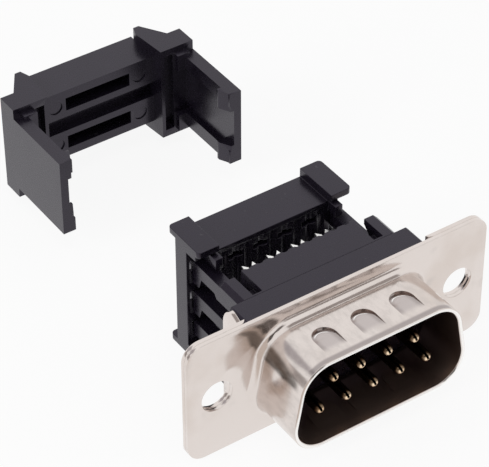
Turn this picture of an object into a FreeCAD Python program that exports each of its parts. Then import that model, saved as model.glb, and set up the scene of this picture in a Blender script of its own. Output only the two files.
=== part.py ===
import FreeCAD, Part
import math
import os

V = FreeCAD.Vector

# Nine-way D-sub connector for ribbon cable. Sizes are in millimetres.
# X runs along the flange, the mating side looks along -Y, and +Z is up.
# The origin is the centre of the flange's front face.

# Sheet metal of the shell and its two brackets
sheet = 0.4
flange_end = 2.91
flange_half_z = 6.25
flange_corner = 1.6
hole_x = 12.495
flange_half_x = hole_x + flange_end
hole_radius = 1.525

# D wall, given by its inside at the mouth, with the wide side down
mouth_half_x = 8.46
mouth_half_z = 4.18
mouth_corner = 2.6
side_slope = 10.0
wall_front_y = -5.9
root_radius = 0.8
lip_bevel = 0.12

# Grounding dimples pressed into the two long sides of the D wall
dimple_pitch = 3.95
dimple_half_width = 1.1
dimple_deep_y = -2.0
dimple_shallow_y = -4.7
dimple_depth = 0.34
dimple_rim = 0.3

# Side tabs of the brackets
tab_inner_x = 9.2
tab_rear_y = 3.4
tab_half_z = 5.35
tab_corner = 1.3
bend_inside = 0.3

# Pins and their two rows
pin_radius = 0.5
pin_tip_y = -5.0
pin_pitch = 2.77
pin_row_z = 1.42
pin_nose_length = 0.22
pin_nose_width = 0.2
seam_width = 0.14
seam_turn = 50
pin_clearance = 0.05

# Cutting forks, with one cable core to each
core_pitch = 1.27
fork_row_z = 4.0
fork_half_x = 0.66
fork_gap = 0.13
fork_point_x = 0.57
fork_tip_y = 8.2
fork_shoulder_y = 7.6
fork_root_y = 6.0
fork_sheet = 0.4
web_half_x = 0.45
fork_clearance = 0.08

# Front insulator
front_half_x = 9.15
body_half_z = 5.8
body_seam_y = 3.1
nose_front_y = -0.3
nose_clearance = 0.05
edge_chamfer = 0.2

# Rear insulator, middle block
block_half_x = 5.75
block_rear_y = 6.4
groove_half_x = 0.34
groove_floor_x = 0.15
groove_depth = 0.15
cover_groove_z = 4.95
guide_slot_x = 6.7
guide_slot_y = 3.3
guide_floor_y = 4.6
guide_floor_z = 5.0

# Rear insulator, shoulders and snap rails
shoulder_x = 8.1
shoulder_rear_y = 6.0
shoulder_step_z = 4.15
shoulder_slant = 1.1
shoulder_waist_x = 7.6
shoulder_waist_y = 5.4
shoulder_bevel = 0.45
rail_inner_x = 6.05
rail_outer_x = 7.3
rail_pitch = 3.4
rail_half_z = 0.65
rail_rear_y = 11.7
rail_head_y = 10.5
rail_head_drop = 1.1
low_head_drop = 0.25
rail_head_bevel = 0.35
rail_root_y = 7.8
rail_root_drop = 0.45

# Cable cover, drawn open
cover_front_y = 10.0
cover_rear_y = 14.2
cover_half_z = 5.5
cover_half_x = 7.95
cover_side_z = 5.75
ear_inner_x = 5.8
ear_top_z = 6.4
ear_front_y = 9.5
ear_round = 0.4
rebate_x = 6.1
rebate_y = 13.1
pocket_clearance = 0.05
pocket_skin_y = 11.4
pocket_skin = 0.33
notch_z = 5.25
tooth_inner_x = 5.85
tooth_outer_x = 6.6
tooth_front_y = 8.9
tooth_low_z = 4.4
fork_slot_depth = 1.3

# Strain relief, drawn off the cover; its own sizes run back from the arm tips
relief_tip_y = 29.15
relief_half_x = 9.8
arm_web = 0.8
arm_half_z = 4.05
arm_length = 8.1
arm_rail_x = 8.5
arm_rail_z = 2.6
hook_length = 1.45
hook_lead = 1.15
hook_inner_x = 8.05
hook_slant = 0.6
hook_low_z = 2.0
pad_inner_x = 7.65
pad_length = 0.7
pad_top_z = 4.4
corner_half_z = 5.05
corner_rear = 10.4
corner_inner_x = 6.2
corner_recess_x = 7.5
corner_recess_z = 4.3
corner_recess_depth = 0.9
ear_step_x = 8.4
ear_tip_x = 6.8
ear_tip_bevel = 0.35
ear_reach = 12.95
bar_front = 9.5
bar_rear = 13.4
bar_half_z = 3.8
bar_slot_x = 3.5
bar_slot_low_z = 1.5
bar_slot_top_z = 2.9
bar_slot_depth = 2.6
bar_groove_z = 0.8
bar_groove_depth = 1.0


def box(x0, x1, y0, y1, z0, z1):
    return Part.makeBox(x1 - x0, y1 - y0, z1 - z0, V(x0, y0, z0))


def prism(points, run):
    return Part.Face(Part.makePolygon(points + [points[0]])).extrude(run)


def plan_prism(points, z0, z1):
    return prism([V(x, y, z0) for x, y in points], V(0, 0, z1 - z0))


def front_prism(points, y0, y1):
    return prism([V(x, y0, z) for x, z in points], V(0, y1 - y0, 0))


def side_prism(points, x0, x1):
    return prism([V(x0, y, z) for y, z in points], V(x1 - x0, 0, 0))


def mirror_x(shape):
    return shape.mirror(V(0, 0, 0), V(1, 0, 0))


def mirror_z(shape):
    return shape.mirror(V(0, 0, 0), V(0, 0, 1))


def both_sides(shapes):
    return shapes + [mirror_x(shape) for shape in shapes]


def top_and_bottom(shapes):
    return shapes + [mirror_z(shape) for shape in shapes]


def join(shapes):
    return shapes[0].multiFuse(shapes[1:]).removeSplitter()


def edges_where(shape, test):
    return [edge for edge in shape.Edges if test(edge.BoundBox)]


def save(shape, node):
    shape.exportStep("parts/" + node + ".step")


# D outline in the plane y: four corner centres stay fixed while the radius grows
def d_wire(radius, y):
    low_x = mouth_half_x - mouth_corner
    low_z = -mouth_half_z + mouth_corner
    high_z = -low_z
    lean = math.radians(side_slope)
    high_x = low_x - (high_z - low_z) * math.tan(lean)
    low_turn = math.radians(side_slope / 2 - 45)
    high_turn = math.radians(side_slope / 2 + 45)
    start = V(0, y, low_z - radius)
    low_foot = V(low_x, y, low_z - radius)
    low_mid = V(low_x + radius * math.cos(low_turn), y, low_z + radius * math.sin(low_turn))
    low_side = V(low_x + radius * math.cos(lean), y, low_z + radius * math.sin(lean))
    high_side = V(high_x + radius * math.cos(lean), y, high_z + radius * math.sin(lean))
    high_mid = V(high_x + radius * math.cos(high_turn), y, high_z + radius * math.sin(high_turn))
    high_top = V(high_x, y, high_z + radius)
    right = [
        Part.makeLine(start, low_foot),
        Part.Arc(low_foot, low_mid, low_side).toShape(),
        Part.makeLine(low_side, high_side),
        Part.Arc(high_side, high_mid, high_top).toShape(),
    ]
    roof = Part.makeLine(high_top, across_x(high_top))
    left = [
        Part.Arc(across_x(high_top), across_x(high_mid), across_x(high_side)).toShape(),
        Part.makeLine(across_x(high_side), across_x(low_side)),
        Part.Arc(across_x(low_side), across_x(low_mid), across_x(low_foot)).toShape(),
        Part.makeLine(across_x(low_foot), start),
    ]
    return Part.Wire(right + [roof] + left)


def across_x(point):
    return V(-point.x, point.y, point.z)


def d_prism(radius, y0, y1):
    return Part.Face(d_wire(radius, y0)).extrude(V(0, y1 - y0, 0))


def rounded_corners(shape, radius, test):
    return shape.makeFillet(radius, edges_where(shape, test))


# Flange plate from y0 to y1, with round corners and its two screw holes
def flange_plate(y0, y1):
    plate = box(-flange_half_x, flange_half_x, y0, y1, -flange_half_z, flange_half_z)
    plate = rounded_corners(plate, flange_corner, lambda b: b.YLength > (y1 - y0) / 2 and b.XLength < 0.01)
    for x in (-hole_x, hole_x):
        plate = plate.cut(Part.makeCylinder(hole_radius, y1 - y0 + 1, V(x, y0 - 0.5, 0), V(0, 1, 0)))
    return plate


# U-shaped wedge, deepest at its round end beside the flange and fading out at the lip
def dimple(x, surface_z, depth, rim):
    width = dimple_half_width + rim
    deep_y = dimple_deep_y + rim
    slope = dimple_depth / (dimple_deep_y - dimple_shallow_y)
    fade_y = dimple_shallow_y - (depth - dimple_depth) / slope
    reach = 2 * depth
    round_end = Part.makeCylinder(width, 2 * reach, V(x, deep_y - width, surface_z - reach))
    straight = box(x - width, x + width, fade_y, deep_y - width, surface_z - reach, surface_z + reach)
    outline = round_end.fuse(straight)
    wedge = side_prism(
        [
            (fade_y, surface_z),
            (dimple_deep_y, surface_z - depth),
            (deep_y, surface_z - depth),
            (deep_y, surface_z + depth),
            (fade_y, surface_z + depth),
        ],
        x - width,
        x + width,
    )
    return outline.common(wedge)


# Cut through the drawn wall at its wide side, from the bevelled lip to the bend into the flange
def wall_section():
    bend_y = -root_radius
    bend_out = sheet + root_radius

    def place(y, out):
        return V(0, y, -mouth_half_z - out)

    def on_bend(radius, degrees):
        turn = math.radians(degrees)
        return place(bend_y + radius * math.sin(turn), bend_out - radius * math.cos(turn))

    lip_y = wall_front_y + lip_bevel
    inside = [place(wall_front_y, lip_bevel), place(lip_y, 0)]
    inside += [on_bend(root_radius + sheet, degrees) for degrees in (0, 45, 90)]
    inside.append(place(0, bend_out))
    outside = [place(bend_y, sheet), place(lip_y, sheet), place(wall_front_y, sheet - lip_bevel), inside[0]]
    root = Part.Arc(inside[-1], on_bend(root_radius, 45), outside[0]).toShape()
    return Part.Face(Part.Wire([Part.makePolygon(inside), root, Part.makePolygon(outside)]))


# The drawn wall with its dimples asks the most care: wall, root bend and lip follow one D outline
def front_shell():
    hole = d_prism(mouth_corner + sheet + root_radius, 0, sheet)
    wall = d_wire(mouth_corner, wall_front_y).makePipe(wall_section())
    shell = flange_plate(0, sheet).cut(hole).fuse(wall)
    wall_top = mouth_half_z + sheet
    inside_zone = box(-mouth_half_x, mouth_half_x, wall_front_y + lip_bevel, 0, -mouth_half_z, mouth_half_z)
    for number in (-1, 0, 1):
        x = number * dimple_pitch
        outside = dimple(x, wall_top, dimple_depth, 0)
        inside = dimple(x, wall_top, dimple_depth + sheet, dimple_rim).common(inside_zone)
        shell = shell.fuse(top_and_bottom([inside])).cut(Part.makeCompound(top_and_bottom([outside])))
    return shell.removeSplitter()


# L-shaped bracket: the plate backs the flange end, the tab runs back beside the body
def bracket_right():
    bend_outside = bend_inside + sheet
    tab_outer_x = tab_inner_x + sheet
    back_y = 2 * sheet
    profile = Part.Face(Part.Wire([
        Part.makeLine(V(tab_inner_x, tab_rear_y, 0), V(tab_inner_x, sheet + bend_outside, 0)),
        bend_arc(tab_inner_x + bend_outside, sheet + bend_outside, bend_outside),
        Part.makeLine(V(tab_inner_x + bend_outside, sheet, 0), V(flange_half_x, sheet, 0)),
        Part.makeLine(V(flange_half_x, sheet, 0), V(flange_half_x, back_y, 0)),
        Part.makeLine(V(flange_half_x, back_y, 0), V(tab_outer_x + bend_inside, back_y, 0)),
        bend_arc(tab_outer_x + bend_inside, back_y + bend_inside, bend_inside),
        Part.makeLine(V(tab_outer_x, back_y + bend_inside, 0), V(tab_outer_x, tab_rear_y, 0)),
        Part.makeLine(V(tab_outer_x, tab_rear_y, 0), V(tab_inner_x, tab_rear_y, 0)),
    ]))
    profile.translate(V(0, 0, -flange_half_z))
    strip = profile.extrude(V(0, 0, 2 * flange_half_z))
    plate = strip.common(flange_plate(sheet, back_y))
    tab_area = box(tab_inner_x - 1, tab_outer_x + 1, 0, tab_rear_y, -tab_half_z, tab_half_z)
    tab_area = rounded_corners(tab_area, tab_corner, lambda b: b.XLength > 1 and b.YMin > tab_rear_y - 0.01)
    return plate.fuse(strip.common(tab_area)).removeSplitter()


# Quarter circle about the given centre, on the side that faces -X and -Y
def bend_arc(x, y, radius):
    step = radius * math.sqrt(0.5)
    return Part.Arc(V(x - radius, y, 0), V(x - step, y - step, 0), V(x, y - radius, 0)).toShape()


# Column numbers and row sign of each contact, wide row first
def contact_places():
    wide = [(column, -1) for column in (-2, -1, 0, 1, 2)]
    narrow = [(column, 1) for column in (-1.5, -0.5, 0.5, 1.5)]
    return wide + narrow


# Flat web behind the pin, slanting from the pin's place to the fork's
def web(column, side, grow, y0, y1):
    pin_x = column * pin_pitch
    fork_x = column * 2 * core_pitch
    half = web_half_x + grow
    inner_z = side * (pin_row_z - pin_radius - grow)
    pin_z = side * (pin_row_z + pin_radius)
    outer_z = side * (fork_row_z + fork_sheet / 2 + grow)
    outline = [
        (pin_x - half, inner_z),
        (pin_x + half, inner_z),
        (pin_x + half, pin_z),
        (fork_x + half, outer_z),
        (fork_x - half, outer_z),
        (pin_x - half, pin_z),
    ]
    return front_prism(outline, y0, y1)


# Half of a fork in plan: straight outer edge, slanted lead-in and a slot that grips the wire
def fork_half(fork_x, sign, web_y):
    return [
        (fork_x + sign * fork_gap, fork_root_y),
        (fork_x + sign * fork_gap, fork_shoulder_y),
        (fork_x + sign * fork_point_x, fork_tip_y),
        (fork_x + sign * fork_half_x, fork_shoulder_y),
        (fork_x + sign * fork_half_x, web_y),
        (fork_x, web_y),
        (fork_x, fork_root_y),
    ]


# Rolled pin with its seam and blunt nose, a flat web behind it and the cutting fork
def contact(column, side):
    pin_x = column * pin_pitch
    pin_z = side * pin_row_z
    web_y = body_seam_y + pin_clearance
    nose_y = pin_tip_y + pin_nose_length
    forward = V(0, 1, 0)
    pin = Part.makeCylinder(pin_radius, web_y - nose_y, V(pin_x, nose_y, pin_z), forward)
    nose_tip = pin_radius - pin_nose_width
    nose = Part.makeCone(nose_tip, pin_radius, pin_nose_length, V(pin_x, pin_tip_y, pin_z), forward)
    seam = box(-pin_radius, 0, nose_y, nose_front_y, -seam_width / 2, seam_width / 2)
    seam.rotate(V(0, 0, 0), forward, seam_turn)
    seam.translate(V(pin_x, 0, pin_z))
    fork_z = side * fork_row_z - fork_sheet / 2
    fork_x = column * 2 * core_pitch
    fork = [plan_prism(fork_half(fork_x, sign, web_y), fork_z, fork_z + fork_sheet) for sign in (-1, 1)]
    return join([pin.cut(seam), nose, web(column, side, 0, web_y, web_y + fork_sheet)] + fork)


def front_insulator():
    block = box(-front_half_x, front_half_x, sheet, body_seam_y, -body_half_z, body_half_z)
    corners = edges_where(block, lambda b: b.YLength > 1)
    block = block.makeChamfer(edge_chamfer, corners)
    nose = d_prism(mouth_corner - nose_clearance, nose_front_y, sheet)
    body = block.fuse(nose)
    for column, side in contact_places():
        start = V(column * pin_pitch, nose_front_y - 0.1, side * pin_row_z)
        length = body_seam_y - nose_front_y + 0.2
        body = body.cut(Part.makeCylinder(pin_radius + pin_clearance, length, start, V(0, 1, 0)))
    return body


# One cable groove along Z for each core, cut into a face at y that looks towards facing
def core_grooves(y, facing, half_z):
    floor_y = y - facing * groove_depth
    grooves = []
    for number in range(-4, 5):
        x = number * core_pitch
        left = [(x - groove_half_x, y), (x - groove_floor_x, floor_y)]
        right = [(x + groove_floor_x, floor_y), (x + groove_half_x, y)]
        grooves.append(plan_prism(left + right, -half_z, half_z))
    return grooves


def middle_block():
    block = box(-block_half_x, block_half_x, body_seam_y, block_rear_y, -body_half_z, body_half_z)
    floor = box(-guide_slot_x, guide_slot_x, body_seam_y, guide_floor_y, -guide_floor_z, guide_floor_z)
    link = box(-guide_slot_x, guide_slot_x, body_seam_y, guide_slot_y, -body_half_z, body_half_z)
    block = join([block, floor, link])
    return block.cut(Part.makeCompound(core_grooves(block_rear_y, 1, body_half_z)))


# Right shoulder: wide and slanted at its top and bottom ends, narrower between them
def shoulder():
    end = front_prism(
        [
            (guide_slot_x, shoulder_step_z),
            (shoulder_x, shoulder_step_z),
            (shoulder_x, body_half_z - shoulder_bevel),
            (shoulder_x - shoulder_bevel, body_half_z),
            (guide_slot_x, body_half_z),
        ],
        body_seam_y,
        shoulder_rear_y,
    )
    slanted = side_prism(
        [
            (body_seam_y, shoulder_step_z),
            (shoulder_rear_y - shoulder_slant, shoulder_step_z),
            (shoulder_rear_y, shoulder_step_z + shoulder_slant),
            (shoulder_rear_y, body_half_z),
            (body_seam_y, body_half_z),
        ],
        guide_slot_x,
        shoulder_x,
    )
    step_z = shoulder_step_z
    waist = box(guide_slot_x, shoulder_waist_x, body_seam_y, shoulder_waist_y, -step_z, step_z)
    return join([waist] + top_and_bottom([end.common(slanted)]))


# Top, low, head and root heights of the three snap rails of one side, lowest rail first
def rail_heights():
    rows = []
    drops = ((-1, low_head_drop, 0), (0, rail_head_drop, 0), (1, rail_head_drop, rail_root_drop))
    for number, head_drop, root_drop in drops:
        low_z = number * rail_pitch - rail_half_z
        rows.append((low_z + 2 * rail_half_z, low_z, low_z - head_drop, low_z - root_drop))
    return rows


# Snap rails of the right side, each with a head that hangs down at its rear end
def rails():
    start_y = shoulder_waist_y - sheet
    pieces = []
    for top_z, low_z, head_z, root_z in rail_heights():
        bevel = min(rail_head_bevel, low_z - head_z)
        pieces.append(side_prism(
            [
                (start_y, top_z),
                (rail_rear_y, top_z),
                (rail_rear_y, head_z + bevel),
                (rail_rear_y - bevel, head_z),
                (rail_head_y, head_z),
                (rail_head_y - bevel, low_z),
                (rail_root_y + rail_head_bevel, low_z),
                (rail_root_y, root_z),
                (start_y, root_z),
            ],
            rail_inner_x,
            rail_outer_x,
        ))
    return pieces


def rear_insulator():
    body = join([middle_block()] + both_sides([shoulder()] + rails()))
    recess_y = body_seam_y + 2 * pin_clearance + fork_sheet
    for column, row in contact_places():
        recess = web(column, row, fork_clearance, body_seam_y - 1, recess_y)
        fork_x = column * 2 * core_pitch
        half = fork_half_x + fork_clearance
        z = row * fork_row_z
        thick = fork_sheet / 2 + fork_clearance
        slot = box(fork_x - half, fork_x + half, body_seam_y - 1, block_rear_y + 1, z - thick, z + thick)
        body = body.cut(Part.makeCompound([recess, slot]))
    return body.removeSplitter()


# Right upper corner cap of the cover, round in plan
def cover_ear():
    ear = box(ear_inner_x, cover_half_x, ear_front_y, cover_rear_y, cover_side_z, ear_top_z)
    return rounded_corners(ear, ear_round, lambda b: b.ZLength > 0.1 and b.XMin > cover_half_x - 0.01)


# Open notch of the right side in front of its thin skin, and one pocket under the skin for each rail
def pockets():
    inner_x = rail_inner_x - pocket_clearance
    cuts = [box(inner_x, cover_half_x + 1, ear_front_y, pocket_skin_y, -notch_z, notch_z)]
    for top_z, low_z, head_z, root_z in rail_heights():
        cuts.append(box(inner_x, cover_half_x - pocket_skin, pocket_skin_y, cover_rear_y,
                        head_z - pocket_clearance, top_z + pocket_clearance))
    return cuts


def cable_cover():
    plate = box(-ear_inner_x, ear_inner_x, cover_front_y, cover_rear_y, -cover_half_z, cover_half_z)
    side = box(ear_inner_x, cover_half_x, cover_front_y, cover_rear_y, -cover_side_z, cover_side_z)
    rebate = box(rebate_x, cover_half_x, rebate_y, cover_rear_y, -cover_side_z, cover_side_z)
    side = side.cut(Part.makeCompound([rebate] + pockets()))
    tooth = box(tooth_inner_x, tooth_outer_x, tooth_front_y, pocket_skin_y + sheet, tooth_low_z, cover_half_z)
    corners = [side] + top_and_bottom([cover_ear(), tooth])
    cover = join([plate] + both_sides(corners))
    cuts = core_grooves(cover_front_y, -1, cover_groove_z)
    for column, row in contact_places():
        fork_x = column * 2 * core_pitch
        half = fork_half_x + fork_clearance
        z = row * fork_row_z
        thick = fork_sheet / 2 + fork_clearance
        slot_y = cover_front_y + fork_slot_depth
        cuts.append(box(fork_x - half, fork_x + half, cover_front_y, slot_y, z - thick, z + thick))
    return cover.cut(Part.makeCompound(cuts)).removeSplitter()


# Right arm: a web between two rails, with a hook at the tip and a pad at the root of each rail
def relief_arm():
    web_x = relief_half_x - arm_web
    root = arm_length + arm_web
    web = box(web_x, relief_half_x, 0, root, -arm_half_z, arm_half_z)
    rail = box(arm_rail_x, relief_half_x, 0, root, arm_rail_z, arm_half_z)
    hook = plan_prism(
        [
            (web_x + arm_web / 2, 0),
            (hook_inner_x + hook_slant, 0),
            (hook_inner_x, hook_lead),
            (hook_inner_x, hook_length),
            (web_x + arm_web / 2, hook_length),
        ],
        hook_low_z,
        arm_half_z,
    )
    pad = box(pad_inner_x, web_x, arm_length - pad_length, root, arm_rail_z, pad_top_z)
    return join([web] + top_and_bottom([rail, hook, pad]))


# Right corner block with its rearward ear, seen in plan
def relief_corner():
    outline = [
        (corner_inner_x, arm_length),
        (relief_half_x, arm_length),
        (relief_half_x, corner_rear),
        (ear_step_x, corner_rear),
        (ear_tip_x, ear_reach),
        (corner_inner_x, ear_reach),
        (corner_inner_x - ear_tip_bevel, ear_reach - 3 * ear_tip_bevel),
    ]
    block = plan_prism(outline, -corner_half_z, corner_half_z)
    recess_y = arm_length + corner_recess_depth
    recess_x = corner_inner_x + ear_tip_bevel
    recess = box(recess_x, corner_recess_x, arm_length, recess_y, -corner_recess_z, corner_recess_z)
    return block.cut(recess)


def relief_bar():
    bar = box(-corner_inner_x, corner_inner_x, bar_front, bar_rear, -bar_half_z, bar_half_z)
    groove_y = bar_front + bar_groove_depth
    groove = box(-corner_inner_x, corner_inner_x, bar_front, groove_y, -bar_groove_z, bar_groove_z)
    slot = box(-bar_slot_x, bar_slot_x, bar_front, bar_front + bar_slot_depth, bar_slot_low_z, bar_slot_top_z)
    return bar.cut(Part.makeCompound([groove] + top_and_bottom([slot])))


def strain_relief():
    relief = join([relief_bar()] + both_sides([relief_arm(), relief_corner()]))
    relief.translate(V(0, relief_tip_y, 0))
    return relief


os.makedirs("parts", exist_ok=True)
save(front_shell(), "front_shell")
save(bracket_right(), "bracket_right")
save(mirror_x(bracket_right()), "bracket_left")
save(front_insulator(), "front_insulator")
save(rear_insulator(), "rear_insulator")
for number, place in enumerate(contact_places(), 1):
    save(contact(place[0], place[1]), "contact_" + str(number))
save(cable_cover(), "cable_cover")
save(strain_relief(), "strain_relief")
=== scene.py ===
import math
import bmesh
import bpy
from mathutils import Matrix, Vector


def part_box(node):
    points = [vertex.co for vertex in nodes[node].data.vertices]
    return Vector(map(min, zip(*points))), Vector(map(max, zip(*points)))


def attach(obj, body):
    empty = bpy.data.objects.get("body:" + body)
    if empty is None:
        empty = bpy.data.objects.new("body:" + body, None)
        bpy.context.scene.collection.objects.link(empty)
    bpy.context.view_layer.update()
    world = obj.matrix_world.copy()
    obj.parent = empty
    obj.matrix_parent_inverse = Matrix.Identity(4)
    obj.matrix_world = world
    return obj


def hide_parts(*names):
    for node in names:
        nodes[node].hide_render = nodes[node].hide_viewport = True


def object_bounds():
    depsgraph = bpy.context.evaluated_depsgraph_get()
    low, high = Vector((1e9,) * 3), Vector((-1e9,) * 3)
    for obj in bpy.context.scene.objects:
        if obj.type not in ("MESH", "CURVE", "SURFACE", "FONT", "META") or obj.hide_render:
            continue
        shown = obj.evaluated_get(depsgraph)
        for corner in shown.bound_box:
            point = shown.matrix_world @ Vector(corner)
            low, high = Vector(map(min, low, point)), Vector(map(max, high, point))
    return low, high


# Nine-way D-sub plug for ribbon cable: finishes and fine shapes over the solids of the frame, in metres
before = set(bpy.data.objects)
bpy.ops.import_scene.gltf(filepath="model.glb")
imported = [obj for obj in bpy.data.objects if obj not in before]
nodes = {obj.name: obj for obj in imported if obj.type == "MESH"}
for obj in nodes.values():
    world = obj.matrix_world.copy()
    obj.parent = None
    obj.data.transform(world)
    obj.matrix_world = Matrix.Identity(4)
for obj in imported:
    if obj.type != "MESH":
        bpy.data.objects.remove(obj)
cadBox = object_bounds()
print("frame loaded:", len(nodes), "pieces")


# One socket, so that sums of sockets read as sums
class Flow:
    def __init__(self, tree, socket):
        self.tree = tree
        self.socket = socket

    def maths(self, operation, *values):
        return addNode(self.tree, "ShaderNodeMath", {"operation": operation}, dict(enumerate(values)))[0]

    def __add__(self, other):
        return self.maths("ADD", self, other)

    def __radd__(self, other):
        return self.maths("ADD", other, self)

    def __sub__(self, other):
        return self.maths("SUBTRACT", self, other)

    def __rsub__(self, other):
        return self.maths("SUBTRACT", other, self)

    def __mul__(self, other):
        return self.maths("MULTIPLY", self, other)

    def __rmul__(self, other):
        return self.maths("MULTIPLY", other, self)

    def __lt__(self, other):
        return self.maths("LESS_THAN", self, other)

    def __pow__(self, other):
        return self.maths("POWER", self, other)

    def __abs__(self):
        return self.maths("ABSOLUTE", self)

    def rounded(self):
        return self.maths("ROUND", self)

    def atLeast(self, other):
        return self.maths("MAXIMUM", self, other)

    def atMost(self, other):
        return self.maths("MINIMUM", self, other)


class Outputs:
    def __init__(self, tree, node):
        self.tree = tree
        self.node = node

    def __getitem__(self, key):
        return Flow(self.tree, self.node.outputs[key])


# Links a socket to another one, or sets its fixed value
def fillSocket(tree, socket, value):
    if isinstance(value, Flow):
        tree.links.new(value.socket, socket)
    elif socket.type == "RGBA":
        socket.default_value = (*value, 1)
    else:
        socket.default_value = value


# A node of any kind: its settings come first, then what goes into each socket
def addNode(tree, kind, settings, values):
    node = tree.nodes.new(kind)
    for name, setting in settings.items():
        setattr(node, name, setting)
    for key, value in values.items():
        fillSocket(tree, node.inputs[key], value)
    return Outputs(tree, node)


def newMaterial(name):
    material = bpy.data.materials.new(name)
    material.use_nodes = True
    material.node_tree.nodes.clear()
    return material, material.node_tree


def finishMaterial(tree, surface):
    addNode(tree, "ShaderNodeOutputMaterial", {}, {"Surface": surface})


def objectPoint(tree, scale=(1, 1, 1)):
    point = addNode(tree, "ShaderNodeTexCoord", {}, {})["Object"]
    return addNode(tree, "ShaderNodeMapping", {}, {"Vector": point, "Scale": scale})["Vector"]


def splitVector(tree, vector):
    return addNode(tree, "ShaderNodeSeparateXYZ", {}, {"Vector": vector})


# The way a face looks, as three numbers
def facing(tree):
    return splitVector(tree, addNode(tree, "ShaderNodeNewGeometry", {}, {})["Normal"])


def noise(tree, point, scale, detail=2.0, roughness=0.5):
    values = {"Vector": point, "Scale": scale, "Detail": detail, "Roughness": roughness}
    return addNode(tree, "ShaderNodeTexNoise", {}, values)["Fac"]


# Noise drawn out along the way that a surface was worked
def streaks(tree, scale, detail, roughness=0.5):
    return noise(tree, objectPoint(tree, scale), 1, detail, roughness)


# Noises added up by their shares
def addUp(noises, shares):
    return sum(part * share for part, share in zip(noises, shares))


def mixColour(tree, factor, first, second):
    node = addNode(tree, "ShaderNodeMix", {"data_type": "RGBA"}, {"Factor": factor}).node
    for name, value in (("A", first), ("B", second)):
        fillSocket(tree, next(s for s in node.inputs if s.name == name and s.type == "RGBA"), value)
    return Flow(tree, next(s for s in node.outputs if s.type == "RGBA"))


# Where a value lies between two limits, smoothly from 0 to 1
def between(tree, value, low, high):
    values = {"Value": value, "From Min": low, "From Max": high}
    return addNode(tree, "ShaderNodeMapRange", {"interpolation_type": "SMOOTHSTEP"}, values)["Result"]


# 1 inside a band and 0 outside it; its limits are where it starts, is full, is still full and ends
def band(tree, value, limits):
    starts, full, stillFull, ends = limits
    return between(tree, value, starts, full) * (1 - between(tree, value, stillFull, ends))


def bump(tree, height, strength, distance):
    values = {"Strength": strength, "Distance": distance, "Height": height}
    return addNode(tree, "ShaderNodeBump", {}, values)["Normal"]


plating = {
    "bright": (0.735, 0.670, 0.635),
    "warm": (0.680, 0.605, 0.560),
    "dull": (0.560, 0.510, 0.485),
    "cloud": (150, 3),  # scale, detail
    "cloudRange": (0.45, 0.70),
    "patch": (345, 2),
    "patchRange": (0.60, 0.80),
    "patchShare": 0.5,
    "roughness": 0.17,
    "roughnessSpread": 0.14,
    "roughnessShares": (0.5, 0.3, 0.4),  # of the clouds, the roll marks and the scratches
    "roll": ((50, 1100, 1100), 2),  # scales along x, y and z, detail
    "scratch": ((300, 4200, 4200), 3, 0.7),  # the same, and how rough
    "bumpShares": (0.7, 0.3),  # of the roll marks and the scratches
    "bumpStrength": 0.4,
    "bumpDepth": 0.0000022,
    # painted shade: a darker tone on the inner faces of the D wall
    "shaded": (0.34, 0.25, 0.215),  # inside the D
    "shadedRoughness": 0.22,
}
# Tones of the D wall, with its painted shade and painted highlights; ahead is how far a place lies ahead of
# the flange
wallTones = {
    "height": (0.0037, 0.0042),  # the long sides start here, above and below the middle
    "drawn": ((1500, 600, 1500), 4, 0.65),
    "drawnRange": (0.38, 0.72),
    "drawnAhead": (0.0003, 0.0010),
    "drawnShare": 0.55,
    # painted shade: a darker grey band on the lip at the mouth
    "lip": (0.40, 0.355, 0.345),
    "lipAhead": (0.00515, 0.00545, 0.00570, 0.00582),
    # painted highlight: a bright line along the edge of the mouth
    "edge": (0.92, 0.90, 0.88),
    "edgeAhead": (0.00582, 0.00588),
    # painted shade: a dark band on the upper corners of the wall
    "corner": (0.125, 0.108, 0.098),
    "cornerStart": (0.0074, 0.0078),
    "cornerAhead": (0.0003, 0.0008, 0.0046, 0.0054),
    "cornerUp": (0.19, 0.30, 0.70, 0.86),  # how far a face looks up
    "cornerNarrows": 70,  # how fast the band narrows towards the mouth
    "cornerShares": (0.6, 0.5),  # plain, and with the drawn marks
}
dimples = {
    "pitch": 0.00395,
    "halfWidth": 0.0011,
    "arch": -0.0031,
    "fade": (0.0040, 0.0049),
    "edge": 0.00016,
    "rimInset": 0.00003,
    "rimWidth": 0.00010,
    # painted shade on the rims, floors and hollows, painted highlights as glints
    "rimTone": (0.26, 0.22, 0.21),
    "rimShare": 0.8,
    "pressTone": (0.54, 0.485, 0.47),
    "hollow": (0.00010, 0.00060),  # how far inside the rim the shade ends
    "hollowTone": (0.30, 0.26, 0.25),
    "hollowShare": 0.6,
    "glint": (0.00026, 0.00010),  # how far inside the rim, half its width
    "glintAlong": (0.00035, 0.0007),
    "glintTone": (0.95, 0.93, 0.91),
}


# Masks for the dimples of the D wall, which carry painted shade on their pressed floors, rims and the hollow
# inside the rims, and painted highlights as glints
def dimpleMasks(tree, place):
    column = (place["X"] * (1 / dimples["pitch"])).rounded().atMost(1.0).atLeast(-1.0)
    across = place["X"] - column * dimples["pitch"]
    along = (place["Y"] - dimples["arch"]).atLeast(0.0)
    inward = dimples["halfWidth"] - (across ** 2.0 + along ** 2.0) ** 0.5
    pressed = between(tree, inward, 0.0, dimples["edge"])
    rim = 1 - between(tree, abs(inward - dimples["rimInset"]), 0.0, dimples["rimWidth"])
    hollow = pressed * (1 - between(tree, inward, *dimples["hollow"]))
    middle, half = dimples["glint"]
    glint = 1 - between(tree, abs(inward - middle), 0.0, half)
    glint = glint * between(tree, along, *dimples["glintAlong"])
    deep = 1 - between(tree, 0 - place["Y"], *dimples["fade"])
    return pressed * deep, rim * deep, hollow * deep, glint


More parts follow.
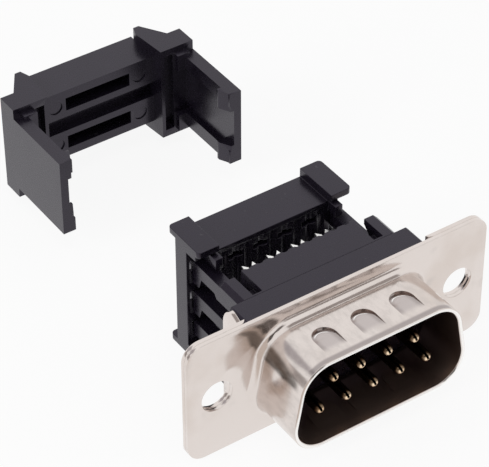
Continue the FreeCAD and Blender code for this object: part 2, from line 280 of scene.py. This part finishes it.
# Painted shade: a dark band on the upper corners of the D, on faces that look partly up; the band narrows
# towards the mouth
def paintedCornerShade(tree, place, ahead):
    up = facing(tree)["Z"]
    starts, full, stillFull, ends = wallTones["cornerUp"]
    corner = between(tree, up, starts, full)
    corner = corner * (1 - between(tree, up + ahead * wallTones["cornerNarrows"], stillFull, ends))
    corner = corner * band(tree, ahead, wallTones["cornerAhead"])
    return corner * between(tree, abs(place["X"]), *wallTones["cornerStart"])


# All the tones of the D wall, laid one after the other over the tone of the sheet: drawn marks, painted shade
# on the lip and upper corners, painted shade and highlights on the dimples, and a painted highlight along the
# mouth
def addWallTones(tree, point, tone):
    place = splitVector(tree, point)
    ahead = 0 - place["Y"]
    onTop = between(tree, abs(place["Z"]), *wallTones["height"])
    drawn = streaks(tree, *wallTones["drawn"])
    pulled = between(tree, drawn, *wallTones["drawnRange"]) * between(tree, ahead, *wallTones["drawnAhead"])
    tone = mixColour(tree, pulled * wallTones["drawnShare"], tone, plating["dull"])
    # Painted shade on the lip at the mouth
    tone = mixColour(tree, band(tree, ahead, wallTones["lipAhead"]) * onTop, tone, wallTones["lip"])
    # Painted shade on the upper corners, broken up by the drawn marks
    plain, marked = wallTones["cornerShares"]
    corner = paintedCornerShade(tree, place, ahead) * (plain + drawn * marked)
    tone = mixColour(tree, corner, tone, wallTones["corner"])
    pressed, rim, hollow, glint = dimpleMasks(tree, place)
    # Painted shade and painted highlights on the dimples
    tone = mixColour(tree, pressed * onTop, tone, dimples["pressTone"])
    tone = mixColour(tree, hollow * onTop * dimples["hollowShare"], tone, dimples["hollowTone"])
    tone = mixColour(tree, glint * onTop, tone, dimples["glintTone"])
    tone = mixColour(tree, rim * onTop * dimples["rimShare"], tone, dimples["rimTone"])
    # Painted highlight along the edge of the mouth
    return mixColour(tree, between(tree, ahead, *wallTones["edgeAhead"]), tone, wallTones["edge"])


# Bright plated sheet: soft clouds of tone, marks along the roll and fine scratches, with painted shade and
# highlights on the D wall and painted shade inside it
def platedSteel(name):
    material, tree = newMaterial(name)
    point = objectPoint(tree)
    cloud = noise(tree, point, *plating["cloud"])
    patch = noise(tree, point, *plating["patch"])
    roll = streaks(tree, *plating["roll"])
    scratch = streaks(tree, *plating["scratch"])
    tone = mixColour(tree, between(tree, cloud, *plating["cloudRange"]), plating["bright"], plating["warm"])
    patch = between(tree, patch, *plating["patchRange"]) * plating["patchShare"]
    tone = mixColour(tree, patch, tone, plating["dull"])
    tone = addWallTones(tree, point, tone)
    # Painted shade on the inner faces of the D wall, which are also rougher
    inside = addNode(tree, "ShaderNodeAttribute", {"attribute_name": "inside"}, {})["Fac"]
    tone = mixColour(tree, inside, tone, plating["shaded"])
    shares = plating["roughnessShares"]
    spread = (addUp((cloud, roll, scratch), shares) - sum(shares) / 2) * plating["roughnessSpread"]
    height = addUp((roll, scratch), plating["bumpShares"])
    surface = addNode(tree, "ShaderNodeBsdfPrincipled", {}, {
        "Base Color": tone,
        "Metallic": 1.0,
        "Roughness": plating["roughness"] + spread + plating["shadedRoughness"] * inside,
        "Normal": bump(tree, height, plating["bumpStrength"], plating["bumpDepth"]),
    })["BSDF"]
    finishMaterial(tree, surface)
    return material


contactFinish = {
    "gold": (0.92, 0.71, 0.49),
    "goldWorn": (0.64, 0.43, 0.25),
    "tin": (0.93, 0.925, 0.91),
    "tinDull": (0.74, 0.73, 0.71),
    "cloud": (900, 3),  # scale, detail
    "cloudRange": (0.45, 0.75),
    "drawn": ((5000, 300, 5000), 2),
    # duller brass and painted shade: dark brown on the shank deep in the D, also laid on the nose
    "shank": (0.085, 0.055, 0.030),
    "shankStart": (-0.00475, -0.0046),
    # painted shade on the nose, by where its faces look
    "upperShade": (0.10, 0.55),  # how far a face of the nose looks up: starts, full
    "sideShade": (0.42, 0.80),  # how far it looks to either side
    "shadeShare": 0.85,
    "tinStart": 0.003,
    "roughness": 0.14,
    "cloudRoughness": 0.18,
    "drawnRoughness": 0.10,
    "bumpStrength": 0.3,
    "bumpDepth": 0.0000015,
}


# Contact metal: bright where it works; dark brown on the shank of the pin, duller brass with painted shade
# deep in the D, and painted shade on the faces of the nose that look up or to the sides
def contactMetal(name, bright, dull):
    material, tree = newMaterial(name)
    point = objectPoint(tree)
    cloud = noise(tree, point, *contactFinish["cloud"])
    drawn = streaks(tree, *contactFinish["drawn"])
    tone = mixColour(tree, between(tree, cloud, *contactFinish["cloudRange"]), bright, dull)
    y = splitVector(tree, point)["Y"]
    onPin = y < contactFinish["tinStart"]
    # Painted shade over the duller shank, deep in the D
    shank = between(tree, y, *contactFinish["shankStart"]) * onPin
    tone = mixColour(tree, shank, tone, contactFinish["shank"])
    # Painted shade on the faces of the nose that look up or to either side
    look = facing(tree)
    upper = between(tree, look["Z"], *contactFinish["upperShade"])
    beside = between(tree, abs(look["X"]), *contactFinish["sideShade"])
    for shade in (upper, beside):
        tone = mixColour(tree, shade * onPin * contactFinish["shadeShare"], tone, contactFinish["shank"])
    spread = contactFinish["cloudRoughness"] * cloud + contactFinish["drawnRoughness"] * drawn
    surface = addNode(tree, "ShaderNodeBsdfPrincipled", {}, {
        "Base Color": tone,
        "Metallic": 1.0,
        "Roughness": contactFinish["roughness"] + spread,
        "Normal": bump(tree, drawn, contactFinish["bumpStrength"], contactFinish["bumpDepth"]),
    })["BSDF"]
    finishMaterial(tree, surface)
    return material


moulding = {
    "dark": (0.0048, 0.0036, 0.0064),
    "light": (0.0100, 0.0078, 0.0140),
    "grain": (5200, 3),  # scale, detail
    "flow": (420, 4),
    "specks": (2600, 1),
    "dust": (0.045, 0.042, 0.047),
    "dustRange": (0.72, 0.82),
    "dustShare": 0.6,
    "sheen": (0.90, 0.815, 1.0),
    "roughness": 0.27,
    "roughnessSpread": 0.16,
    "roughnessShares": (0.6, 0.4),  # of the flow marks and the grain
    "bumpShares": (0.2, 0.8),
    "bumpStrength": 0.45,
    "bumpDepth": 0.000010,
}


# Black moulding: fine spark grain, faint flow marks and a few pale specks of dust
def blackPlastic(name):
    material, tree = newMaterial(name)
    point = objectPoint(tree)
    grain = noise(tree, point, *moulding["grain"])
    flow = noise(tree, point, *moulding["flow"])
    specks = noise(tree, point, *moulding["specks"])
    tone = mixColour(tree, flow, moulding["dark"], moulding["light"])
    dust = between(tree, specks, *moulding["dustRange"]) * moulding["dustShare"]
    tone = mixColour(tree, dust, tone, moulding["dust"])
    shares = moulding["roughnessShares"]
    spread = (addUp((flow, grain), shares) - sum(shares) / 2) * moulding["roughnessSpread"]
    height = addUp((flow, grain), moulding["bumpShares"])
    surface = addNode(tree, "ShaderNodeBsdfPrincipled", {}, {
        "Base Color": tone,
        "Specular Tint": moulding["sheen"],
        "Roughness": moulding["roughness"] + spread,
        "Normal": bump(tree, height, moulding["bumpStrength"], moulding["bumpDepth"]),
    })["BSDF"]
    finishMaterial(tree, surface)
    return material


steel = platedSteel("platedSteel")
gold = contactMetal("goldFlash", contactFinish["gold"], contactFinish["goldWorn"])
tin = contactMetal("tinPlate", contactFinish["tin"], contactFinish["tinDull"])
plastic = blackPlastic("blackPlastic")
print("materials ready")


def newObject(name, data):
    thing = bpy.data.objects.new(name, data)
    bpy.context.scene.collection.objects.link(thing)
    return thing


def addPiece(name, mesh, material, body, replaced):
    mesh.materials.clear()
    mesh.materials.append(material)
    piece = newObject(name, mesh)
    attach(piece, body)
    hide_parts(*replaced)


# The mesh that an object has once its modifiers have acted; the object itself goes
def finishedMesh(thing):
    evaluated = thing.evaluated_get(bpy.context.evaluated_depsgraph_get())
    mesh = bpy.data.meshes.new_from_object(evaluated)
    bpy.data.objects.remove(thing)
    return mesh


def meshFrom(shape, name):
    mesh = bpy.data.meshes.new(name)
    shape.to_mesh(mesh)
    shape.free()
    return mesh


# Side faces between two outlines with as many corners
def joinOutlines(shape, first, second):
    for index in range(len(first)):
        after = (index + 1) % len(first)
        shape.faces.new((first[index], second[index], second[after], first[after]))


# A flat plate between two such outlines
def addPlate(shape, first, second):
    shape.faces.new(first)
    shape.faces.new(list(reversed(second)))
    joinOutlines(shape, first, second)


def smoothUpTo(mesh, degrees):
    mesh.shade_smooth()
    mesh.set_sharp_from_angle(angle=math.radians(degrees))


# node: finish, width of its edge rounding, whether its faces are flat, body and slot
softEdges = {
    "front_shell": (steel, 0.00005, False, "connector", "plated_shell"),
    "bracket_left": (steel, 0.00006, False, "connector", "plated_bracket"),
    "bracket_right": (steel, 0.00006, False, "connector", "plated_bracket"),
    "front_insulator": (plastic, 0.00008, True, "connector", "black_body"),
    "rear_insulator": (plastic, 0.00008, True, "connector", "black_body"),
    "cable_cover": (plastic, 0.00011, True, "cover", "black_cover"),
    "strain_relief": (plastic, 0.00012, True, "relief", "black_relief"),
}
rounding = {
    "sameSpot": 0.0000005,
    "flatAngle": 0.8,
    "edgeAngle": 38,
    "smoothAngle": 32,
    "segments": 2,
    "slotted": ["bracket_left", "bracket_right", "cable_cover", "strain_relief"],  # split before the rounding
}
insideWall = {
    "frontY": -0.0057,
    "backY": -0.00005,
}
tabs = {
    "startY": 0.00085,
    "startZ": 0.0035,
    "endZ": 0.00535,
    "longEnd": 0.0060,
    "shortEnd": 0.0048,
    "slopeY": 0.0025,
    "slope": 0.42,
}


# The two brackets are alike, one turned over: the left tab reaches further up, the right one down
def shapeTab(mesh, upEnd, downEnd):
    for vertex in mesh.vertices:
        height = abs(vertex.co.z)
        if vertex.co.y > tabs["startY"] and height > tabs["startZ"]:
            end = upEnd if vertex.co.z > 0 else downEnd
            end -= tabs["slope"] * max(0, tabs["slopeY"] - vertex.co.y)
            share = (height - tabs["startZ"]) / (tabs["endZ"] - tabs["startZ"])
            vertex.co.z = math.copysign(tabs["startZ"] + share * (end - tabs["startZ"]), vertex.co.z)


ejectorMarks = {
    "radius": 0.00072,
    "depth": 0.00012,
    "sides": 28,
    "places": [(0.0046, 0.0022), (-0.0046, 0.0022), (0.0046, -0.0022), (-0.0046, -0.0022)],  # across, up
    "barHalf": (0.0062, 0.004),  # half of the bar between its slots and posts, across and up
}


# The largest face of the bar that looks to the front, between the slots
def ejectorFaceY(mesh):
    halfX, halfZ = ejectorMarks["barHalf"]
    areas = {}
    for face in mesh.polygons:
        if face.normal.y < -0.99 and abs(face.center.x) < halfX and abs(face.center.z) < halfZ:
            key = round(face.center.y, 6)
            areas[key] = areas.get(key, 0) + face.area
    return max(areas, key=areas.get)


# Round marks that the ejector pins of the mould leave on the clip's bar
def pressMarks(thing):
    frontY = ejectorFaceY(thing.data)
    shape = bmesh.new()
    for x, z in ejectorMarks["places"]:
        place = Matrix.Translation((x, frontY, z)) @ Matrix.Rotation(math.radians(90), 4, "X")
        bmesh.ops.create_cone(
            shape, cap_ends=True, segments=ejectorMarks["sides"], radius1=ejectorMarks["radius"],
            radius2=ejectorMarks["radius"], depth=ejectorMarks["depth"] * 2, matrix=place,
        )
    pegs = newObject("ejectorPins", meshFrom(shape, "ejectorPins"))
    cut = thing.modifiers.new("marks", "BOOLEAN")
    cut.operation = "DIFFERENCE"
    cut.solver = "EXACT"
    cut.object = pegs
    return pegs


# A bare copy of a solid's mesh, with its flat faces joined
def joinedFaces(node):
    shape = bmesh.new()
    shape.from_mesh(nodes[node].data)
    bmesh.ops.remove_doubles(shape, verts=shape.verts, dist=rounding["sameSpot"])
    bmesh.ops.dissolve_limit(
        shape, angle_limit=math.radians(rounding["flatAngle"]), verts=shape.verts, edges=shape.edges,
    )
    if node in rounding["slotted"]:
        bmesh.ops.connect_verts_concave(shape, faces=shape.faces)
    shape.verts.index_update()
    mesh = bpy.data.meshes.new(node + "Soft")
    mesh.from_pydata(
        [vertex.co[:] for vertex in shape.verts],
        [],
        [[vertex.index for vertex in face.verts] for face in shape.faces],
    )
    shape.free()
    return mesh


# The same with its sharp edges rounded
def softened(node, width, flatFaced):
    mesh = joinedFaces(node)
    if node == "bracket_left":
        shapeTab(mesh, tabs["longEnd"], tabs["shortEnd"])
    if node == "bracket_right":
        shapeTab(mesh, tabs["shortEnd"], tabs["longEnd"])
    rough = newObject(node + "Rough", mesh)
    cutters = [pressMarks(rough)] if node == "strain_relief" else []
    bevel = rough.modifiers.new("softEdge", "BEVEL")
    bevel.width = width
    bevel.segments = rounding["segments"]
    bevel.limit_method = "ANGLE"
    bevel.angle_limit = math.radians(rounding["edgeAngle"])
    bevel.miter_outer = "MITER_ARC"
    if flatFaced:
        mesh.shade_smooth()
        flat = rough.modifiers.new("flatFaces", "WEIGHTED_NORMAL")  # broad faces stay flat between soft edges
        flat.weight = 100
    result = finishedMesh(rough)
    for cutter in cutters:
        bpy.data.objects.remove(cutter)
    if not flatFaced:
        smoothUpTo(result, rounding["smoothAngle"])
    return result


# Marks the inner faces of the D wall behind its mouth, which get painted shade and a rougher finish
def markInside(mesh):
    mark = mesh.attributes.new("inside", "FLOAT", "FACE")
    for face in mesh.polygons:
        facesAxis = face.normal.x * face.center.x + face.normal.z * face.center.z < 0
        onWall = insideWall["frontY"] < face.center.y < insideWall["backY"]
        mark.data[face.index].value = float(facesAxis and onWall)


for node, (finish, width, flatFaced, body, slot) in softEdges.items():
    mesh = softened(node, width, flatFaced)
    if node == "front_shell":
        markInside(mesh)
    addPiece(node + "Finished", mesh, finish, body, [node])
print("soft edges on", len(softEdges), "pieces")

# Contacts, made once and set on their two rows; places come from the solids
contactNodes = ["contact_" + str(number) for number in range(1, 10)]
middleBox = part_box("contact_3")
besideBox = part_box("contact_4")
pin = {
    "radius": 0.0005,
    "slitWidth": 0.00022,
    "slitDepth": 0.85,  # below the middle, as a share of the radius
    "slitAngle": 20,  # from straight up towards the left
    "tip": middleBox[0].y,
    "tail": 0.00315,
    "noseLength": 0.00055,
    "noseRadius": 0.00015,
    "noseRings": 6,
    "sides": 36,
    "smoothAngle": 40,
}
fork = {
    "halfWidth": middleBox[1].x,
    "slotHalf": 0.00013,
    "pointHalf": 0.00057,
    "tip": middleBox[1].y + 0.00025,  # a little past the solid's, as in the photo
    "shoulder": 0.0079,
    "slotRoot": 0.0060,
    "start": 0.0031,
    "sheet": 0.0004,
    "edge": 0.00004,
    "sharpAngle": 0.5,
}
web = {
    "halfWidth": 0.00045,
}
rows = {
    "pinPitch": besideBox[1].x - pin["radius"],
    "pinHeight": pin["radius"] - middleBox[1].z,
    "forkPitch": besideBox[0].x + fork["halfWidth"],
    "forkHeight": -middleBox[0].z - fork["sheet"] / 2,
    "wideCount": 5,
    "narrowCount": 4,
}


# How far ahead each ring of the pin lies, and how wide it is, from the nose to the tail
def pinStations():
    stations = []
    for ring in range(pin["noseRings"] + 1):
        turn = math.radians(90) * ring / pin["noseRings"]
        radius = pin["noseRadius"] + (pin["radius"] - pin["noseRadius"]) * math.sin(turn)
        stations.append((pin["tip"] + pin["noseLength"] * (1 - math.cos(turn)), radius))
    return stations + [(pin["tail"], pin["radius"])]


# Pin folded from sheet: round, with a domed nose and a slit from its top to near its foot
def pinMesh():
    half = pin["slitWidth"] / 2
    lean = math.radians(90 + pin["slitAngle"])
    shape = bmesh.new()
    loops = []
    for y, radius in pinStations():
        gap = math.asin(half / radius)
        outline = []
        for step in range(pin["sides"] + 1):
            turn = gap + (2 * math.pi - 2 * gap) * step / pin["sides"]
            outline.append((radius * math.cos(turn), radius * math.sin(turn)))
        foot = -pin["slitDepth"] * radius
        outline += [(foot, -half), (foot, half)]
        loops.append([
            shape.verts.new((
                up * math.cos(lean) - left * math.sin(lean),
                y,
                up * math.sin(lean) + left * math.cos(lean),
            ))
            for up, left in outline
        ])
    for first, second in zip(loops, loops[1:]):
        joinOutlines(shape, first, second)
    shape.faces.new(loops[0])
    shape.faces.new(list(reversed(loops[-1])))
    bmesh.ops.triangulate(shape, faces=[face for face in shape.faces if len(face.verts) > 4])
    bmesh.ops.recalc_face_normals(shape, faces=shape.faces)
    return meshFrom(shape, "pinTemplate")


# Cutting fork seen in plan, with its two points and the slot that grips a wire
def forkMesh():
    half = [
        (fork["slotHalf"], fork["slotRoot"]),
        (fork["slotHalf"], fork["shoulder"]),
        (fork["pointHalf"], fork["tip"]),
        (fork["halfWidth"], fork["shoulder"]),
        (fork["halfWidth"], fork["start"]),
    ]
    outline = half + [(-x, y) for x, y in reversed(half)]
    shape = bmesh.new()
    low = [shape.verts.new((x, y, -fork["sheet"] / 2)) for x, y in outline]
    high = [shape.verts.new((x, y, fork["sheet"] / 2)) for x, y in outline]
    addPlate(shape, low, high)
    bmesh.ops.recalc_face_normals(shape, faces=shape.faces)
    sharp = [edge for edge in shape.edges if edge.calc_face_angle(0) > fork["sharpAngle"]]
    bmesh.ops.bevel(shape, geom=sharp, offset=fork["edge"], segments=1, affect="EDGES", clamp_overlap=True)
    return meshFrom(shape, "forkTemplate")


# Node tree that sets its own mesh on a wide lower row and a narrow upper row
def twoRowTree():
    tree = bpy.data.node_groups.new("twoRows", "GeometryNodeTree")
    sockets = tree.interface
    sockets.new_socket("Geometry", in_out="INPUT", socket_type="NodeSocketGeometry")
    for name, kind in (
        ("Pitch", "NodeSocketFloat"),
        ("Height", "NodeSocketFloat"),
        ("Wide count", "NodeSocketInt"),
        ("Narrow count", "NodeSocketInt"),
        ("Finish", "NodeSocketMaterial"),
    ):
        sockets.new_socket(name, in_out="INPUT", socket_type=kind)
    sockets.new_socket("Geometry", in_out="OUTPUT", socket_type="NodeSocketGeometry")
    given = addNode(tree, "NodeGroupInput", {}, {})
    step = addNode(tree, "ShaderNodeCombineXYZ", {}, {"X": given["Pitch"]})["Vector"]
    lines = []
    for countName, side in (("Wide count", -1), ("Narrow count", 1)):
        startX = (given[countName] - 1) * given["Pitch"] * -0.5
        values = {"X": startX, "Z": given["Height"] * side}
        start = addNode(tree, "ShaderNodeCombineXYZ", {}, values)["Vector"]
        values = {"Count": given[countName], "Start Location": start, "Offset": step}
        lines.append(addNode(tree, "GeometryNodeMeshLine", {"mode": "OFFSET"}, values)["Mesh"])
    joined = tree.nodes.new("GeometryNodeJoinGeometry")
    for line in lines:
        tree.links.new(line.socket, joined.inputs[0])
    values = {"Points": Flow(tree, joined.outputs[0]), "Instance": given["Geometry"]}
    placed = addNode(tree, "GeometryNodeInstanceOnPoints", {}, values)["Instances"]
    real = addNode(tree, "GeometryNodeRealizeInstances", {}, {"Geometry": placed})["Geometry"]
    values = {"Geometry": real, "Material": given["Finish"]}
    done = addNode(tree, "GeometryNodeSetMaterial", {}, values)["Geometry"]
    addNode(tree, "NodeGroupOutput", {}, {"Geometry": done})
    return tree


def inTwoRows(tree, template, pitch, height, finish):
    thing = newObject("rowsRough", template)
    modifier = thing.modifiers.new("twoRows", "NODES")
    modifier.node_group = tree
    values = {
        "Pitch": pitch,
        "Height": height,
        "Wide count": rows["wideCount"],
        "Narrow count": rows["narrowCount"],
        "Finish": finish,
    }
    for item in tree.interface.items_tree:
        if item.in_out == "INPUT" and item.name in values:
            modifier[item.identifier] = values[item.name]
    return finishedMesh(thing)


rowTree = twoRowTree()
pins = inTwoRows(rowTree, pinMesh(), rows["pinPitch"], rows["pinHeight"], gold)
smoothUpTo(pins, pin["smoothAngle"])
addPiece("contactPins", pins, gold, "connector", contactNodes)
forks = inTwoRows(rowTree, forkMesh(), rows["forkPitch"], rows["forkHeight"], tin)
addPiece("contactForks", forks, tin, "connector", contactNodes)


# Flat webs that join each pin to its fork inside the body
def websMesh():
    half = web["halfWidth"]
    shape = bmesh.new()
    for count, side in ((rows["wideCount"], -1), (rows["narrowCount"], 1)):
        for number in range(count):
            column = number - (count - 1) / 2
            pinX = column * rows["pinPitch"]
            forkX = column * rows["forkPitch"]
            nearZ = side * (rows["pinHeight"] - pin["radius"])
            farZ = side * rows["forkHeight"]
            outline = [(pinX - half, nearZ), (pinX + half, nearZ), (forkX + half, farZ), (forkX - half, farZ)]
            front = [shape.verts.new((x, pin["tail"], z)) for x, z in outline]
            back = [shape.verts.new((x, pin["tail"] + fork["sheet"], z)) for x, z in outline]
            addPlate(shape, front, back)
    bmesh.ops.recalc_face_normals(shape, faces=shape.faces)
    return meshFrom(shape, "contactWebs")


addPiece("contactWebs", websMesh(), tin, "connector", contactNodes)
print("contacts set on two rows")

view = {
    "azimuth": math.radians(-34.526),
    "elevation": math.radians(39.869),
    "roll": math.radians(-0.025),
    "target": Vector((-0.00297, 0.00889, 0.00676)),
    "distance": 0.2,
    "lens": 174.9,
    "sensor": 36,
    "shift": -7 / 489,  # 7 px of the width
    "clipStart": 0.01,
}

back = Vector((
    math.sin(view["azimuth"]) * math.cos(view["elevation"]),
    -math.cos(view["azimuth"]) * math.cos(view["elevation"]),
    math.sin(view["elevation"]),
))
cameraData = bpy.data.cameras.new("camera")
cameraData.lens = view["lens"]
cameraData.sensor_width = view["sensor"]
cameraData.shift_x = view["shift"]
cameraData.clip_start = view["clipStart"]
camera = newObject("camera", cameraData)
camera.matrix_world = (
    Matrix.Translation(view["target"] + back * view["distance"])
    @ back.to_track_quat("Z", "Y").to_matrix().to_4x4()
    @ Matrix.Rotation(view["roll"], 4, "Z")
)
bpy.context.scene.camera = camera

studio = {
    "worldLevel": 0.55,
    "aim": (0, 0.012, 0),
    "lamps": [
        # name, place, size, watts
        ("leftLamp", (-0.50, 0.05, 0.30), 0.25, 1.2),
        ("topLamp", (-0.10, -0.15, 0.60), 0.30, 0.5),
    ],
    "flags": [
        # name, place, size, tone
        ("topFlag", (0.19, -0.03, 0.46), 0.28, (0.36, 0.33, 0.32)),
        ("backLeftFlag", (-0.24, 0.31, 0.30), 0.28, (0.46, 0.44, 0.46)),
        ("leftFlag", (-0.41, 0.30, 0.09), 0.26, (0.34, 0.31, 0.30)),
        ("frontFlag", (0.22, -0.43, 0.05), 0.18, (0.30, 0.27, 0.26)),
        ("cornerFlagHigh", (-0.05, -0.36, 0.30), 0.20, (0.14, 0.125, 0.12)),
        ("cornerFlag", (-0.24, -0.34, 0.17), 0.26, (0.08, 0.07, 0.065)),
        ("nearFrontFlag", (-0.0165, -0.0105, 0.0), 0.016, (0.66, 0.59, 0.54)),
    ],
    "floorSize": 3.0,
    "floorColour": (0.88, 0.88, 0.88),
    "floorGlow": 0.90,  # the rest shows shadow
    "floorDrop": 0.00002,  # keeps the lowest faces out of its plane
}


def addLamp(name, place, size, watts):
    lamp = bpy.data.lights.new(name, "AREA")
    lamp.shape = "SQUARE"
    lamp.size = size
    lamp.energy = watts
    thing = newObject(name, lamp)
    thing.visible_glossy = False  # reflections show the white room and the dark cards
    fromPart = Vector(place) - Vector(studio["aim"])
    thing.matrix_world = Matrix.Translation(place) @ fromPart.to_track_quat("Z", "Y").to_matrix().to_4x4()


for row in studio["lamps"]:
    addLamp(*row)


def squareCorners(size, height):
    half = size / 2
    return [(-half, -half, height), (half, -half, height), (half, half, height), (-half, half, height)]


def addCard(name, corners, material):
    mesh = bpy.data.meshes.new(name)
    mesh.from_pydata(corners, [], [(0, 1, 2, 3)])
    mesh.materials.append(material)
    return newObject(name, mesh)


def glow(tree, colour):
    return addNode(tree, "ShaderNodeEmission", {}, {"Color": colour, "Strength": 1.0})["Emission"]


# Dark cards that only reflections see: they give the bends of the metal their dark lines
def addFlag(name, place, size, tone):
    material, tree = newMaterial(name)
    finishMaterial(tree, glow(tree, tone))
    turn = Vector(place).to_track_quat("Z", "Y").to_matrix()
    corners = [Vector(place) + turn @ Vector(corner) for corner in squareCorners(size, 0)]
    flag = addCard(name, corners, material)
    flag.visible_camera = False
    flag.visible_diffuse = False
    flag.visible_transmission = False
    flag.visible_shadow = False


for row in studio["flags"]:
    addFlag(*row)

# The room is white where the eye, metal and glass see it, and dimmer as a light
world = bpy.data.worlds.new("world")
world.use_nodes = True
bpy.context.scene.world = world
worldTree = world.node_tree
worldTree.nodes.clear()
rays = addNode(worldTree, "ShaderNodeLightPath", {}, {})
seen = rays["Is Camera Ray"].atLeast(rays["Is Glossy Ray"]).atLeast(rays["Is Transmission Ray"])
level = studio["worldLevel"] + (1 - studio["worldLevel"]) * seen
sky = addNode(worldTree, "ShaderNodeBackground", {}, {"Color": (1, 1, 1), "Strength": level})["Background"]
addNode(worldTree, "ShaderNodeOutputWorld", {}, {"Surface": sky})

# The floor glows where it is seen, so that it is pale, and keeps the part's shadow
floorMaterial, floorTree = newMaterial("paleFloor")
matt = addNode(floorTree, "ShaderNodeBsdfDiffuse", {}, {"Color": studio["floorColour"]})["BSDF"]
rays = addNode(floorTree, "ShaderNodeLightPath", {}, {})
share = rays["Is Camera Ray"] * studio["floorGlow"] + rays["Is Glossy Ray"] * (1 - rays["Is Camera Ray"])
share = share.atLeast(rays["Is Transmission Ray"] * studio["floorGlow"])
values = {0: share, 1: matt, 2: glow(floorTree, (1, 1, 1))}
finishMaterial(floorTree, addNode(floorTree, "ShaderNodeMixShader", {}, values)["Shader"])
low = cadBox[0].z - studio["floorDrop"]
floor = addCard("floor", squareCorners(studio["floorSize"], low), floorMaterial)
bpy.context.scene.view_settings.view_transform = "Standard"
print("camera, lamps and floor ready")
